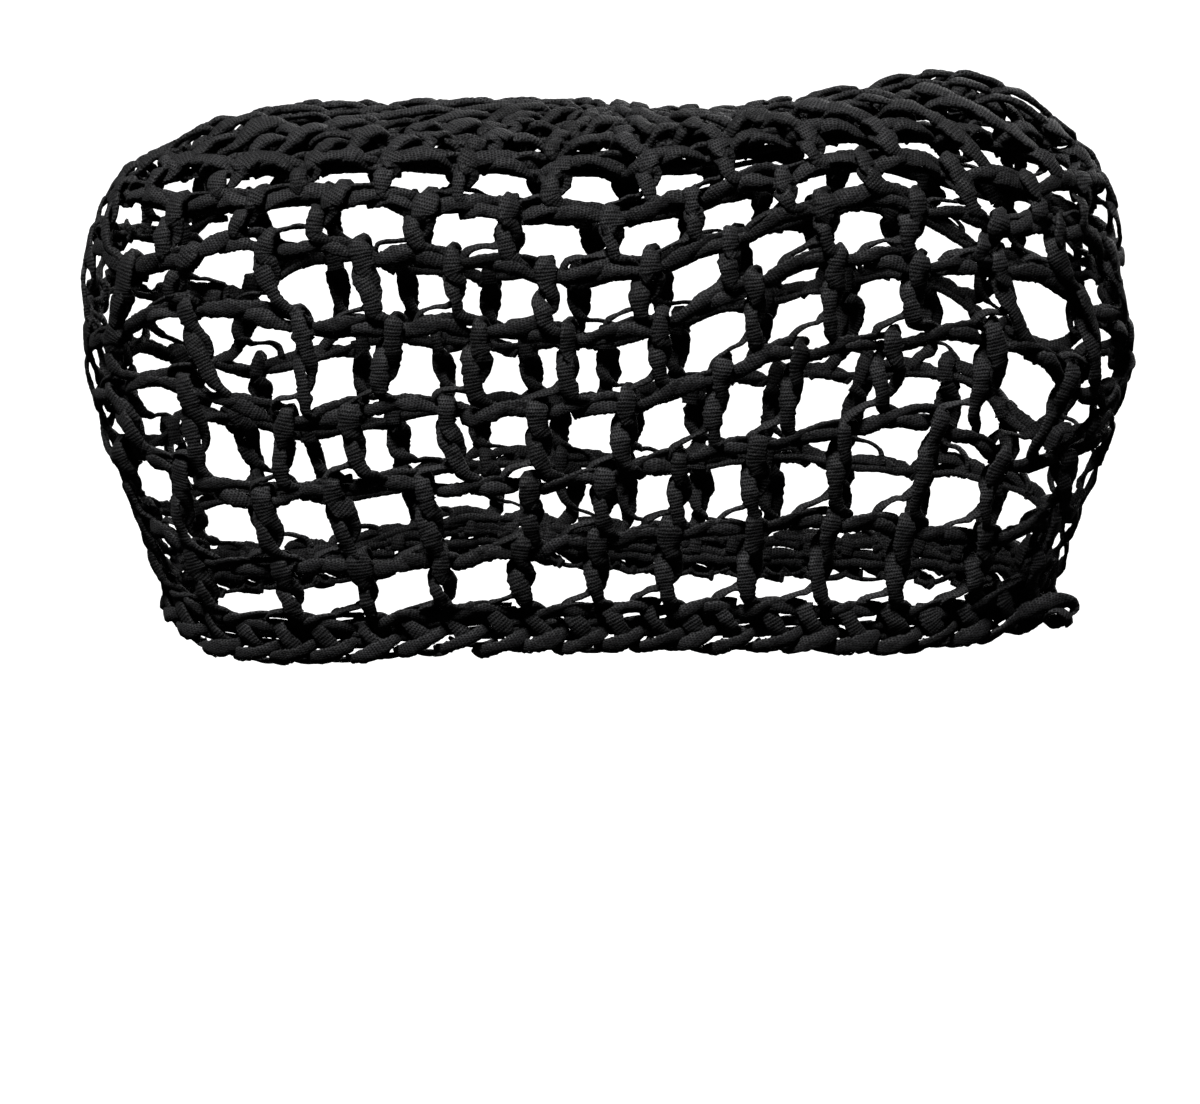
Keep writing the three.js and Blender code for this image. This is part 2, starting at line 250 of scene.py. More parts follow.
# The tape itself is a knitted nylon ribbon: flat, ribbed across, soft enough to crease where it is pulled
# tight. Its sizes are in millimetres, its twist in degrees, and how uneven it is, as shares of its width,
# depth or stitch.
TAPE_RIB = 0.92
TAPE_STEP = 0.74
SAMPLES_PER_SPAN = 12
STITCH_COLUMN_MM = 17
NET_DEPTH = 2.0
SLIP = 0.75
TWIST = 9
TURN_SLIP = 0.04
FULLNESS_OF_EACH = 0.07
FULLNESS_ALONG = 0.04
SIDE_HOLDS_ON = 0.35
EDGE_UNEVENNESS = 0.10
EDGE_JITTER = 0.05
EDGE_LIMIT = 0.25
EDGE_SMOOTHING = np.full(7, 0.4)
WIDTH_COLUMN, DEPTH_COLUMN = 9, 10
TAPE_CORNERS = 8
TAPE_SQUARENESS = 0.7
SMALLEST_CROWDING = 0.62


def through_controls(controls, spans):
    """Smooth curves through control points on axis 1, with steady speed along each chord."""
    chords = np.linalg.norm(np.diff(controls[..., :3], axis=1), axis=-1)
    reach = np.concatenate([np.zeros_like(chords[:, :1]), np.cumsum(chords, axis=1)], axis=1)[..., None]
    slopes = np.empty_like(controls)
    slopes[:, 1:-1] = (controls[:, 2:] - controls[:, :-2]) / (reach[:, 2:] - reach[:, :-2])
    slopes[:, 0] = (controls[:, 1] - controls[:, 0]) / reach[:, 1]
    slopes[:, -1] = (controls[:, -1] - controls[:, -2]) / (reach[:, -1] - reach[:, -2])
    t = (np.arange(spans) / spans)[None, None, :, None]
    start, end = controls[:, :-1, None], controls[:, 1:, None]
    length = chords[..., None, None]
    leave, arrive = slopes[:, :-1, None] * length, slopes[:, 1:, None] * length
    curve = (
        (2 * t**3 - 3 * t**2 + 1) * start + (t**3 - 2 * t**2 + t) * leave
        + (3 * t**2 - 2 * t**3) * end + (t**3 - t**2) * arrive
    )
    flat = curve.reshape(len(controls), -1, controls.shape[-1])
    return np.concatenate([flat, controls[:, -1:]], axis=1)


def unit(vectors):
    return vectors / np.linalg.norm(vectors, axis=-1, keepdims=True)


def lay_tapes(
    table, first_round, round_height, turns, pitch, lean,
    starts_behind=False, column_mm=STITCH_COLUMN_MM, rise=1,
):
    """One tape per turn, through the control rows of a table, as poly-lines with the tape's own directions.

    Rows and columns place a control in the net's cell; across, down and out move it in millimetres.
    """
    rows, columns, across, down, out, width, depth, roll = np.array(table, float).T
    turns = np.asarray(turns, float)[:, None]
    rounds = np.broadcast_to(first_round + round_height * rows, (len(turns), len(rows)))
    anchors = turns + (columns - lean * rows) * pitch
    _, per_round, per_turn, _ = surface_at(rounds, anchors)
    row_mm, turn_mm = np.linalg.norm(per_round, axis=-1), np.linalg.norm(per_turn, axis=-1)
    crowding = np.clip(turn_mm * pitch / column_mm, SMALLEST_CROWDING, 1)
    foot_share = np.linspace(0, 1, len(rows))
    slip = SLIP * column_mm / STITCH_COLUMN_MM
    head_slip, foot_slip = RNG.normal(0, slip, (2, 3, len(turns), 1))
    shake = RNG.normal(0, slip / 5, (3, *anchors.shape))
    slips = head_slip * (1 - foot_share) + foot_slip * foot_share + shake
    rounds = rounds + (down + slips[0]) / row_mm
    anchors = anchors + (across * crowding + slips[1]) / turn_mm
    point, _, _, outward = surface_at(rounds, anchors)
    point = point + outward * ((out - NET_DEPTH) * rise + slips[2] / 3)[..., None]
    fullness = 1 + RNG.normal(0, FULLNESS_OF_EACH, (len(turns), 1))
    fullness = fullness + RNG.normal(0, FULLNESS_ALONG, anchors.shape)
    twist = RNG.normal(0, TWIST, (len(turns), 1)) + RNG.normal(0, TWIST / 2, anchors.shape)
    widths, depths = width * fullness * crowding, depth * rise * fullness
    controls = np.concatenate([
        point,
        outward,
        np.stack([widths, depths, np.radians(roll + twist)], -1),
    ], -1)
    curve = through_controls(controls, SAMPLES_PER_SPAN)
    return tape_lines(curve, starts_behind)


def tape_lines(curve, starts_behind):
    """Turns the side of each tape along its curve and cuts it into even steps, with uneven edges."""
    place, outward = curve[..., :3], unit(curve[..., 3:6])
    width, depth, roll = curve[..., 6], curve[..., 7], curve[..., 8]
    forward = unit(np.gradient(place, axis=1))
    lying = np.cross(outward, forward)
    side = np.empty_like(place)
    held = -lying[:, 0] if starts_behind else lying[:, 0]
    for i in range(place.shape[1]):
        wanted = lying[:, i] * np.where(np.sum(lying[:, i] * held, -1, keepdims=True) < 0, -1, 1)
        held = unit(held * SIDE_HOLDS_ON + wanted * np.linalg.norm(wanted, axis=-1, keepdims=True))
        held = unit(held - forward[:, i] * np.sum(held * forward[:, i], -1, keepdims=True))
        side[:, i] = held
    face = np.cross(forward, side)
    turned = side * np.cos(roll)[..., None] + face * np.sin(roll)[..., None]
    lines = []
    for i in range(len(curve)):
        steps = np.linalg.norm(np.diff(place[i], axis=0), axis=1)
        reach = np.concatenate([[0], np.cumsum(steps)])
        count = max(4, round(reach[-1] / TAPE_STEP))
        marks = np.linspace(0, reach[-1], count + 1)
        values = np.concatenate([place[i], turned[i], forward[i], width[i, :, None], depth[i, :, None]], -1)
        cut = np.stack([np.interp(marks, reach, values[:, j]) for j in range(values.shape[1])], -1)
        for column in (WIDTH_COLUMN, DEPTH_COLUMN):
            rough = RNG.normal(0, EDGE_UNEVENNESS, len(marks) + len(EDGE_SMOOTHING) - 1)
            loose = np.clip(np.convolve(rough, EDGE_SMOOTHING, "valid"), -EDGE_LIMIT, EDGE_LIMIT)
            cut[:, column] *= 1 + loose + RNG.normal(0, EDGE_JITTER, len(marks))
        tone = np.full((len(marks), 1), RNG.uniform())
        lines.append(np.concatenate([cut, marks[:, None], tone], -1))
    return lines


nylon, nylon_tree = new_material("knitted nylon tape")
# Matt textured nylon, dyed black and knitted into a flat ribbon. The ribs across it are raised in the bump,
# and the grooves between them and the eyelets of the loops are darkened to near black in the colour as
# painted shade. The filaments give a faint soft sheen at a low angle.
# Its loops are 0.74 mm wide, its filaments lie about half a millimetre apart, the ribs wander over 4 mm,
# the creases come every 2.4 mm and the paler patches every 22 mm, given here as so many a metre.
LOOP_WIDTH = 0.74
FILAMENTS_A_METRE = 1900.0
CREASES_A_METRE = 420.0
RIB_WANDERS_A_METRE = 260.0
PATCHES_A_METRE = 45.0
tape_place = add_node(nylon_tree, "ShaderNodeAttribute", {"attribute_name": "tape_mm"})
tape_axes = add_node(nylon_tree, "ShaderNodeSeparateXYZ", inputs={"Vector": tape_place.outputs["Vector"]})
position = add_node(nylon_tree, "ShaderNodeTexCoord").outputs["Object"]
wander = add_node(nylon_tree, "ShaderNodeTexNoise", inputs={
    "Vector": position, "Scale": RIB_WANDERS_A_METRE, "Detail": 2.0,
})
uneven = add_node(nylon_tree, "ShaderNodeMath", {"operation": "MULTIPLY_ADD"}, {
    0: wander.outputs["Fac"], 1: 0.55, 2: tape_axes.outputs["X"],
})
rib_turn = add_node(nylon_tree, "ShaderNodeMath", {"operation": "MULTIPLY"}, {
    0: uneven.outputs[0], 1: math.pi / TAPE_RIB,
})
rib_wave = add_node(nylon_tree, "ShaderNodeMath", {"operation": "SINE"}, {0: rib_turn.outputs[0]})
rib_size = add_node(nylon_tree, "ShaderNodeMath", {"operation": "ABSOLUTE"}, {0: rib_wave.outputs[0]})
# The grooves and eyelets below shape the bump and roughness, and through the pit mask they also paint shade
# into the colour.
groove = add_node(nylon_tree, "ShaderNodeMapRange", {"interpolation_type": "SMOOTHSTEP"}, {
    "Value": rib_size.outputs[0], "From Min": 0.6, "From Max": 1.0, "To Min": 0.0, "To Max": 0.3,
})
loop_turn = add_node(nylon_tree, "ShaderNodeMath", {"operation": "MULTIPLY"}, {
    0: tape_axes.outputs["Y"], 1: 2 * math.pi / LOOP_WIDTH,
})
loop_wave = add_node(nylon_tree, "ShaderNodeMath", {"operation": "COSINE"}, {0: loop_turn.outputs[0]})
eyelet_wave = add_node(nylon_tree, "ShaderNodeMath", {"operation": "MULTIPLY"}, {
    0: rib_wave.outputs[0], 1: loop_wave.outputs[0],
})
eyelet = add_node(nylon_tree, "ShaderNodeMapRange", {"interpolation_type": "SMOOTHSTEP"}, {
    "Value": eyelet_wave.outputs[0], "From Min": 0.1, "From Max": 0.8, "To Min": 0.0, "To Max": 0.9,
})
# The pit mask gives the depth of the grooves and eyelets for the bump and the roughness. It is also painted
# shade, darkening the colour there.
pit_and_painted_shade = add_node(nylon_tree, "ShaderNodeMath", {"operation": "ADD", "use_clamp": True}, {
    0: groove.outputs["Result"], 1: eyelet.outputs["Result"],
})
filament = add_node(nylon_tree, "ShaderNodeTexNoise", inputs={
    "Vector": position, "Scale": FILAMENTS_A_METRE, "Detail": 3.0,
})
rough_face = add_node(nylon_tree, "ShaderNodeMath", {"operation": "MULTIPLY"}, {
    0: filament.outputs["Fac"], 1: 0.8,
})
crease = add_node(nylon_tree, "ShaderNodeTexNoise", inputs={
    "Vector": position, "Scale": CREASES_A_METRE, "Detail": 1.0,
})
creased_face = add_node(nylon_tree, "ShaderNodeMath", {"operation": "MULTIPLY_ADD"}, {
    0: crease.outputs["Fac"], 1: 2.2, 2: rough_face.outputs[0],
})
height = add_node(nylon_tree, "ShaderNodeMath", {"operation": "SUBTRACT"}, {
    0: creased_face.outputs[0], 1: pit_and_painted_shade.outputs[0],
})
bump = add_node(nylon_tree, "ShaderNodeBump", inputs={
    "Height": height.outputs[0], "Distance": 0.00034, "Strength": 1.0,
})
patch = add_node(nylon_tree, "ShaderNodeTexNoise", inputs={
    "Vector": position, "Scale": PATCHES_A_METRE, "Detail": 2.0,
})
wear = add_node(nylon_tree, "ShaderNodeMath", {"operation": "MULTIPLY_ADD"}, {
    0: tape_axes.outputs["Z"], 1: 0.35, 2: patch.outputs["Fac"],
})
grain = add_node(nylon_tree, "ShaderNodeMath", {"operation": "MULTIPLY_ADD"}, {
    0: filament.outputs["Fac"], 1: 1.4, 2: wear.outputs[0],
})
crest_share = add_node(nylon_tree, "ShaderNodeMapRange", inputs={
    "Value": grain.outputs[0], "From Min": 1.0, "From Max": 1.8, "To Min": 0.0, "To Max": 1.0,
})
crest_colour = add_node(nylon_tree, "ShaderNodeMix", {"data_type": "RGBA"}, {
    "Factor": crest_share.outputs["Result"], 6: linear_colour("#0d0d0e"), 7: linear_colour("#323234"),
})
# Painted shade: the colour is darkened toward #030303 in the grooves and eyelets, where the knit would fall
# into shadow.
tape_colour_with_painted_shade = add_node(nylon_tree, "ShaderNodeMix", {"data_type": "RGBA"}, {
    "Factor": pit_and_painted_shade.outputs[0], 6: crest_colour.outputs[2], 7: linear_colour("#030303"),
})
roughness = add_node(nylon_tree, "ShaderNodeMath", {"operation": "MULTIPLY_ADD"}, {
    0: pit_and_painted_shade.outputs[0], 1: 0.4, 2: 0.56,
})
nylon_shader = add_node(nylon_tree, "ShaderNodeBsdfPrincipled", inputs={
    "Base Color": tape_colour_with_painted_shade.outputs[2],
    "Roughness": roughness.outputs[0],
    "IOR": 1.53,
    "Specular IOR Level": 0.25,
    "Sheen Weight": 0.02,
    "Sheen Roughness": 0.45,
    "Normal": bump.outputs["Normal"],
})
add_node(nylon_tree, "ShaderNodeOutputMaterial", inputs={"Surface": nylon_shader.outputs["BSDF"]})


# One tree sweeps the tape along its lines, as a flat section with rounded edges.
tape_tree = bpy.data.node_groups.new("swept tape", "GeometryNodeTree")
tape_tree.interface.new_socket("Geometry", in_out="INPUT", socket_type="NodeSocketGeometry")
corners_input = tape_tree.interface.new_socket("Corners", in_out="INPUT", socket_type="NodeSocketInt")
squareness_input = tape_tree.interface.new_socket(
    "Squareness", in_out="INPUT", socket_type="NodeSocketFloat",
)
finish_input = tape_tree.interface.new_socket("Finish", in_out="INPUT", socket_type="NodeSocketMaterial")
tape_tree.interface.new_socket("Geometry", in_out="OUTPUT", socket_type="NodeSocketGeometry")
tree_in = add_node(tape_tree, "NodeGroupInput").outputs


def tree_value(name, kind="FLOAT"):
    node = add_node(tape_tree, "GeometryNodeInputNamedAttribute", {"data_type": kind}, {"Name": name})
    return node.outputs[0]


def tree_math(operation, *values):
    node = add_node(tape_tree, "ShaderNodeMath", {"operation": operation}, dict(enumerate(values)))
    return node.outputs[0]


def tree_vector(operation, inputs):
    return add_node(tape_tree, "ShaderNodeVectorMath", {"operation": operation}, inputs).outputs


def keep_on_points(geometry, name, value, kind="FLOAT_VECTOR"):
    """Stores a value on the points under a name, and gives the geometry that carries it."""
    node = add_node(
        tape_tree, "GeometryNodeStoreNamedAttribute", {"data_type": kind, "domain": "POINT"},
        {"Geometry": geometry, "Name": name, "Value": value},
    )
    return node.outputs["Geometry"]


lines = add_node(tape_tree, "GeometryNodeMeshToCurve", inputs={"Mesh": tree_in["Geometry"]})
side_across = tree_value("side", "FLOAT_VECTOR")
side_forward = tree_value("forward", "FLOAT_VECTOR")
line_direction = add_node(tape_tree, "GeometryNodeInputTangent").outputs[0]
same_way = tree_math("SIGN", tree_vector("DOT_PRODUCT", {0: line_direction, 1: side_forward})["Value"])
turned_side = tree_vector("SCALE", {0: side_across, "Scale": same_way})["Vector"]
kept = keep_on_points(lines.outputs["Curve"], "side", turned_side)
outwards = tree_vector("CROSS_PRODUCT", {0: line_direction, 1: tree_value("side", "FLOAT_VECTOR")})
kept = keep_on_points(kept, "face", outwards["Vector"])
kept = keep_on_points(kept, "centre", add_node(tape_tree, "GeometryNodeInputPosition").outputs[0])
section = add_node(tape_tree, "GeometryNodeCurvePrimitiveCircle", {"mode": "RADIUS"}, {
    "Resolution": tree_in["Corners"], "Radius": 0.001,
})
corner_number = add_node(tape_tree, "GeometryNodeInputIndex").outputs[0]
corner_turn = tree_math("DIVIDE", corner_number, tree_in["Corners"])
section = keep_on_points(
    section.outputs["Curve"], "corner", tree_math("MULTIPLY", corner_turn, 2 * math.pi), "FLOAT",
)
swept = add_node(tape_tree, "GeometryNodeCurveToMesh", inputs={
    "Curve": kept, "Profile Curve": section, "Fill Caps": True,
})


def squared(wave):
    return tree_math("MULTIPLY", tree_math("SIGN", wave), tree_math(
        "POWER", tree_math("ABSOLUTE", wave), tree_in["Squareness"],
    ))


corner = tree_value("corner")
across_share = squared(tree_math("COSINE", corner))
deep_share = squared(tree_math("SINE", corner))
half_width = tree_value("half_width")
half_depth = tree_value("half_depth")
move_across = tree_vector("SCALE", {
    0: tree_value("side", "FLOAT_VECTOR"), "Scale": tree_math("MULTIPLY", across_share, half_width),
})
move_deep = tree_vector("SCALE", {
    0: tree_value("face", "FLOAT_VECTOR"), "Scale": tree_math("MULTIPLY", deep_share, half_depth),
})
move = tree_vector("ADD", {0: move_across["Vector"], 1: move_deep["Vector"]})
spot = tree_vector("ADD", {0: tree_value("centre", "FLOAT_VECTOR"), 1: move["Vector"]})
shaped = add_node(tape_tree, "GeometryNodeSetPosition", inputs={
    "Geometry": swept.outputs["Mesh"], "Position": spot["Vector"],
})
across_mm = tree_math("MULTIPLY", tree_math("MULTIPLY", across_share, half_width), 1000.0)
tape_mm = add_node(tape_tree, "ShaderNodeCombineXYZ", inputs={
    "X": tree_value("along"), "Y": across_mm, "Z": tree_value("tone"),
})
tidied = keep_on_points(shaped.outputs["Geometry"], "tape_mm", tape_mm.outputs[0])
for spare in ("side", "forward", "face", "centre", "corner", "half_width", "half_depth", "along", "tone"):
    tidied = add_node(tape_tree, "GeometryNodeRemoveAttribute", inputs={
        "Geometry": tidied, "Name": spare,
    }).outputs["Geometry"]
smooth = add_node(tape_tree, "GeometryNodeSetShadeSmooth", inputs={"Geometry": tidied})
real = add_node(tape_tree, "GeometryNodeRealizeInstances", inputs={"Geometry": smooth.outputs["Geometry"]})
finished = add_node(tape_tree, "GeometryNodeSetMaterial", inputs={
    "Geometry": real.outputs["Geometry"], "Material": tree_in["Finish"],
})
add_node(tape_tree, "NodeGroupOutput", inputs={"Geometry": finished.outputs["Geometry"]})


def make_tape_piece(name, lines, stands_for):
    """Sweeps the tape along its lines, makes the mesh a finished piece on its body, and hides the CAD part
    it stands for.
    """
    values = np.concatenate(lines)
    counts = [len(line) for line in lines]
    starts = np.concatenate([[0], np.cumsum(counts)])
    edges = np.concatenate([
        np.stack([np.arange(a, b - 1), np.arange(a + 1, b)], -1) for a, b in zip(starts[:-1], starts[1:])
    ])
    path = bpy.data.meshes.new(name + "_lines")
    path.from_pydata(values[:, :3] / 1000, edges, [])
    attributes = {
        "side": ("FLOAT_VECTOR", "vector", values[:, 3:6]),
        "forward": ("FLOAT_VECTOR", "vector", values[:, 6:9]),
        "half_width": ("FLOAT", "value", values[:, 9] / 2000),
        "half_depth": ("FLOAT", "value", values[:, 10] / 2000),
        "along": ("FLOAT", "value", values[:, 11]),
        "tone": ("FLOAT", "value", values[:, 12]),
    }
    for attribute, (kind, field, data) in attributes.items():
        store = path.attributes.new(attribute, kind, "POINT").data
        store.foreach_set(field, np.ravel(data).astype(np.float32))
    piece = bpy.data.objects.new(name, path)
    bpy.context.scene.collection.objects.link(piece)
    sweep = piece.modifiers.new("tape", "NODES")
    sweep.node_group = tape_tree
    sweep[corners_input.identifier] = TAPE_CORNERS
    sweep[squareness_input.identifier] = TAPE_SQUARENESS
    sweep[finish_input.identifier] = nylon
    bpy.context.view_layer.update()
    depsgraph = bpy.context.evaluated_depsgraph_get()
    mesh = bpy.data.meshes.new_from_object(piece.evaluated_get(depsgraph))
    mesh.name = name
    piece.modifiers.remove(sweep)
    piece.data = mesh
    bpy.data.meshes.remove(path)
    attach(piece, "root")
    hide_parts(stands_for)


RING_ROUND = 0.62
RING_WRAPS = 26
RING_COLUMN_MM = 5
RING_CORD = (
    # rows, columns, across, down, out, width, depth, roll
    (0, 0, 0, 0, 0, 3.4, 2.6, 0),
    (0, 0.5, 0, 0, 0, 3.4, 2.6, 0),
    (0, 1.1, 0, 0, 0, 3.4, 2.6, 0),
)
RING_WRAP = (
    (0, 0, -2, 2.2, -1.5, 3.4, 1.4, 0),
    (0, 0, -1.2, -2.2, -1.2, 3.8, 1.3, 0),
    (0, 0, 0, -2.6, 0.8, 4.0, 1.3, 0),
    (0, 0, 0.8, 0, 2.3, 4.1, 1.3, 0),
    (0, 0, 1.6, 2.8, 1.2, 4.0, 1.3, 0),
    (0, 0, 2.4, 3.0, -1.4, 3.6, 1.3, 0),
)
ring_turns = np.arange(RING_WRAPS) / RING_WRAPS
ring_lines = []
for table, behind in ((RING_CORD, False), (RING_WRAP, True)):
    ring_lines += lay_tapes(table, RING_ROUND, 1, ring_turns, 1 / RING_WRAPS, 0, behind, RING_COLUMN_MM)
make_tape_piece("start_ring_wraps", ring_lines, "start_ring")


# Crown rows
# The top of the cap, worked outwards from the ring in three rounds of tall open stitches that grow in
# number. Each stitch is one tape doubled over the chain of the round before, twisted once and set into its
# own chain.
STITCH_FLAP = (
    # rows, columns, across, down, out, width, depth, roll
    (0, 0, 0, 3.6, -2.2, 3.8, 1.6, 0),
    (0, 0, 0, -0.6, -2.4, 4.0, 1.6, 0),
    (0, 0, -0.2, -2.4, -0.8, 3.9, 1.8, 0),
    (0, 0, -0.7, -2.5, 1.2, 4.3, 1.6, 0),
    (0, 0, -0.9, -0.4, 2.7, 5.3, 1.5, 0),
    (0.12, 0, -0.3, 2.0, 2.6, 5.7, 1.5, -6),
    (0.34, 0, 1.6, 0, 2.1, 4.8, 1.5, -20),
    (0.52, 0, 2.2, 0, 0.8, 4.0, 1.5, 6),
    (0.66, 0, 1.4, 0, 0.2, 3.4, 1.6, 40),
    (0.74, 0, -0.7, 0, 0.1, 3.0, 1.5, 62),
    (0.76, -0.07, 0, 0, 0.5, 2.8, 1.3, 78),
    (0.78, -0.17, 0, 0, 0.9, 2.8, 1.2, 86),
    (0.82, -0.27, 0, 0, 0.9, 2.8, 1.2, 80),
    (0.89, -0.35, 0, 0, 0.4, 2.9, 1.3, 66),
    (0.98, -0.38, 0, 1.2, -0.6, 2.6, 1.2, 50),
)
STITCH_LEG = (
    (0.10, 0, 0.4, 1.2, -2.4, 3.8, 1.5, 0),
    (0.16, 0, -1.4, 1.6, -1.2, 4.0, 1.5, 0),
    (0.28, 0, -1.9, 0.8, 0.8, 4.2, 1.5, 20),
    (0.42, 0, -1.2, 0, 2.4, 4.5, 1.5, 10),
    (0.56, 0, 0, 0, 3.1, 4.8, 1.5, 0),
    (0.72, 0, 1.3, 0, 2.9, 4.5, 1.5, -10),
    (0.85, 0.06, 1.0, 0, 2.5, 4.2, 1.6, 4),
    (0.92, 0.17, 0.4, 0, 1.9, 3.7, 1.6, 16),
    (0.97, 0.28, 0, 0, 0.8, 3.3, 1.5, 24),
    (1.01, 0.36, 0, 1.2, -0.7, 2.6, 1.3, 10),
)
CHAIN_TAPE = (
    (1, 0.05, 0, 2.8, -1.8, 3.0, 1.2, 0),
    (1, 0.13, 0, 1.9, 0.8, 3.8, 1.4, 0),
    (1, 0.30, 0, 0.5, 2.1, 4.2, 1.4, 0),
    (1, 0.50, 0, -0.9, 1.8, 4.0, 1.4, 8),
    (1, 0.70, 0, -1.7, 0.9, 3.4, 1.3, 24),
    (1, 0.86, 0, -1.4, 0.1, 3.0, 1.2, 20),
    (1, 1.00, 0, -0.4, -1.6, 2.6, 1.0, 0),
)
CHAIN_LOOP = (
    (1, 0.36, 0, 1.4, -1.2, 2.6, 1.4, 0),
    (1, 0.44, 0, 0.8, 0.8, 3.4, 1.5, 0),
    (1, 0.58, 0, 0.1, 1.9, 4.2, 1.6, 0),
    (1, 0.74, 0, 0.6, 1.6, 4.0, 1.5, -10),
    (1, 0.88, 0, 1.6, 0.2, 3.0, 1.3, -20),
    (1, 0.96, 0, 2.0, -1.4, 2.4, 1.0, 0),
)
CHAIN_CORD = (
    (1, -0.06, 0, 1.4, -0.9, 2.4, 1.7, 0),
    (1, 0.24, 0, 1.7, -0.7, 2.2, 1.7, 0),
    (1, 0.52, 0, 1.2, -0.9, 2.2, 1.7, 0),
    (1, 0.80, 0, 1.6, -1.0, 2.2, 1.7, 0),
    (1, 1.06, 0, 1.4, -0.9, 2.4, 1.7, 0),
)
STITCH_LEAN = 0.15
CROWN_RISE = 1.45
CROWN_ROWS = (
    # first round, last round, stitches
    (0.62, 2, 14),
    (2, 3, 21),
    (3, 4, 28),
)
WALL_STITCHES = 28
FRONT_TURN = 0.008


def stitch_row(first_round, last_round, turns, stitches, chain_turns, rise=1):
    """A round of stitches, and below them the chain that the stitches of the next round hook over."""
    height_rounds, pitch = last_round - first_round, 1 / stitches
    lines = []
    for table, behind in ((STITCH_FLAP, True), (STITCH_LEG, False)):
        lines += lay_tapes(table, first_round, height_rounds, turns, pitch, STITCH_LEAN, behind, rise=rise)
    for table in (CHAIN_TAPE, CHAIN_LOOP, CHAIN_CORD):
        lines += lay_tapes(table, first_round, height_rounds, chain_turns, pitch, 0, rise=rise)
    return lines


def stitch_turns(stitches, start):
    return (np.arange(stitches) + start + RNG.normal(0, TURN_SLIP, stitches)) / stitches + FRONT_TURN


for number, (first_round, last_round, stitches) in enumerate(CROWN_ROWS, 1):
    crown_turns = stitch_turns(stitches, 0)
    chain_turns = crown_turns - STITCH_LEAN / stitches
    crown_lines = stitch_row(first_round, last_round, crown_turns, stitches, chain_turns, CROWN_RISE)
    make_tape_piece(f"crown_row_{number}", crown_lines, "crown_net")


# Wall rows
# Seven rounds of the same open stitch that hang round the head and stretch into rows of big holes.
# Every stitch hooks over the chain of the row above, a little to one side of the stitch above it.
FIRST_WALL_ROUND = 4
ROW_STARTS = (0.10, -0.32, 0.07, 0.25, -0.04, -0.39, -0.42, -0.60)
row_turns = [stitch_turns(WALL_STITCHES, start) for start in ROW_STARTS]
for number in range(len(ROW_STARTS) - 1):
    round_above = FIRST_WALL_ROUND + number
    wall_lines = stitch_row(
        round_above, round_above + 1, row_turns[number], WALL_STITCHES, row_turns[number + 1],
    )
    make_tape_piece(f"wall_row_{number + 1}", wall_lines, "side_net")


# Rim band
# The dense hem that grips the head, two rounds of short stitches worked close along the last chain.
# Its lower edge is a plait of flat tapes that overlap, with thin loops that sag below them.
RIM_STITCHES = 52
RIM_MIDDLE = 11.5
RIM_FLAP = (
    # rows, columns, across, down, out, width, depth, roll
    (0, -0.22, 0, -1.0, -2.0, 3.8, 1.4, 0),
    (0, -0.26, 0, -3.6, -1.6, 4.0, 1.4, 0),
    (0, -0.26, 0, -4.8, 0.4, 4.4, 1.4, 0),
    (0, -0.14, 0, -3.2, 2.0, 4.8, 1.4, 0),
    (0, 0.06, 0, -0.6, 2.2, 4.8, 1.4, 0),
    (0, 0.24, 0, 1.8, 1.3, 4.2, 1.4, 0),
    (0, 0.34, 0, 2.8, -0.8, 3.6, 1.2, 0),
)
RIM_EDGE_TAPE = (
    (0, -0.62, 0, 5.6, -1.4, 3.0, 1.2, 0),
    (0, -0.50, 0, 5.2, 1.0, 3.8, 1.4, 0),
    (0, -0.16, 0, 4.2, 2.7, 4.4, 1.4, 0),
    (0, 0.26, 0, 2.6, 3.0, 4.4, 1.4, 0),
    (0, 0.56, 0, 1.0, 1.6, 3.8, 1.3, 0),
    (0, 0.72, 0, 0.2, -1.0, 3.0, 1.1, 0),
)
RIM_UNDER_TAPE = (
    (0, -0.20, 0, 4.2, -1.4, 2.6, 1.5, 60),
    (0, 0.02, 0, 5.2, 0, 2.8, 1.5, 76),
    (0, 0.32, 0, 5.6, 0.5, 2.8, 1.5, 84),
    (0, 0.62, 0, 5.4, 0.5, 2.8, 1.5, 78),
    (0, 0.88, 0, 4.4, -1.0, 2.6, 1.5, 60),
)
RIM_CORD = (
    (0, -0.08, 0, 0.4, -1.0, 2.8, 2.2, 0),
    (0, 0.5, 0, -0.4, -0.6, 3.2, 2.4, 0),
    (0, 1.08, 0, 0.4, -1.0, 2.8, 2.2, 0),
)
RIM_COLUMN_MM = 11
RIM_CORD_LIFTS = (-3.6, -1.2, 1.4)
rim_turns = np.arange(RIM_STITCHES) / RIM_STITCHES
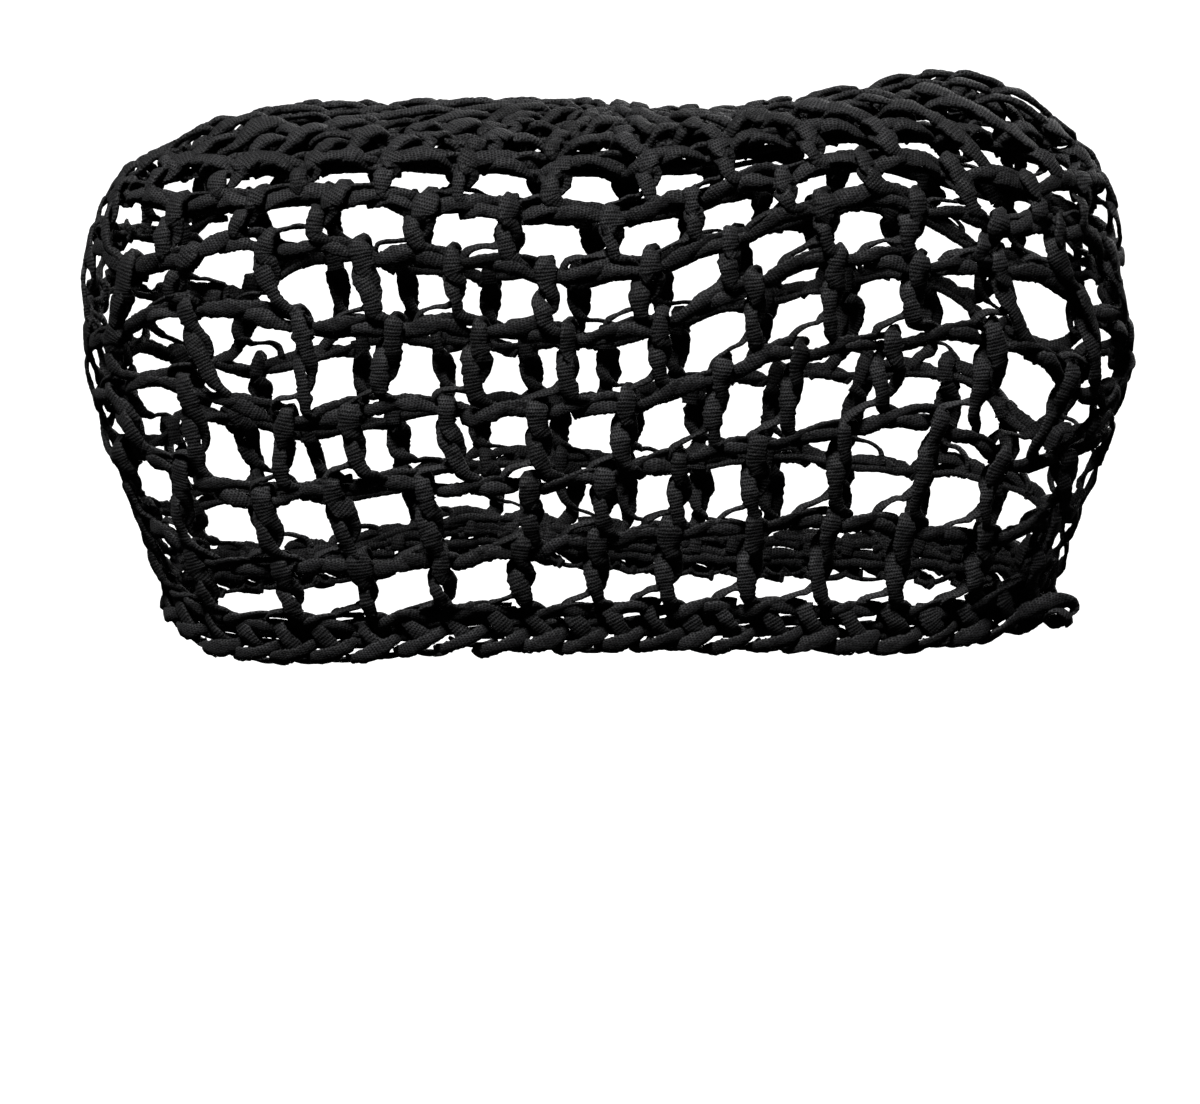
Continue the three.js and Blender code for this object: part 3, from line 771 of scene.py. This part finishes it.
rim_turns = rim_turns + RNG.normal(0, TURN_SLIP / RIM_STITCHES, RIM_STITCHES)
rim_lines = []
for table, behind in ((RIM_FLAP, True), (RIM_EDGE_TAPE, False), (RIM_UNDER_TAPE, False)):
    rim_lines += lay_tapes(table, RIM_MIDDLE, 1, rim_turns, 1 / RIM_STITCHES, 0, behind, RIM_COLUMN_MM)
for lift in RIM_CORD_LIFTS:
    cord = [(*row[:3], row[3] + lift, *row[4:]) for row in RIM_CORD]
    rim_lines += lay_tapes(cord, RIM_MIDDLE, 1, rim_turns, 1 / RIM_STITCHES, 0, False, RIM_COLUMN_MM)
make_tape_piece("rim_plait", rim_lines, "rim_band")


# End knot
# Where the last round ends the tape is pulled through and tied off in a small flat knot that stands out.
KNOT_ROUND = 11.35
KNOT_TURN = 0.975
KNOT_FACE = (0.3, -0.94, 0.15)
KNOT_TAPE = (
    # right, forward, up, width, depth, roll
    (-9.5, 12.0, -4.0, 3.6, 1.4, 0),
    (-5.0, 10.8, -2.0, 4.4, 1.4, 0),
    (0, 9.0, -0.8, 5.0, 1.4, 6),
    (4.6, 7.0, -1.2, 4.8, 1.4, 30),
    (7.0, 5.0, -3.4, 4.2, 1.4, 80),
    (5.6, 4.4, -6.2, 4.0, 1.4, 140),
    (1.8, 6.0, -7.2, 4.2, 1.4, 180),
    (-1.4, 8.0, -5.2, 4.2, 1.4, 220),
    (1.4, 9.0, -3.2, 4.2, 1.4, 280),
    (4.8, 8.2, -5.0, 4.0, 1.4, 330),
    (5.8, 6.4, -8.0, 3.2, 1.2, 350),
)
knot_middle = surface_at(np.array(KNOT_ROUND), np.array(KNOT_TURN))[0]
right, forward, up, width, depth, roll = np.array(KNOT_TAPE, float).T
knot_controls = np.column_stack([
    knot_middle + np.stack([right, -forward, up], -1),
    np.tile(KNOT_FACE, (len(right), 1)),
    width,
    depth,
    np.radians(roll),
])
knot_curve = through_controls(knot_controls[None], SAMPLES_PER_SPAN)
make_tape_piece("tied_end", tape_lines(knot_curve, False), "end_knot")
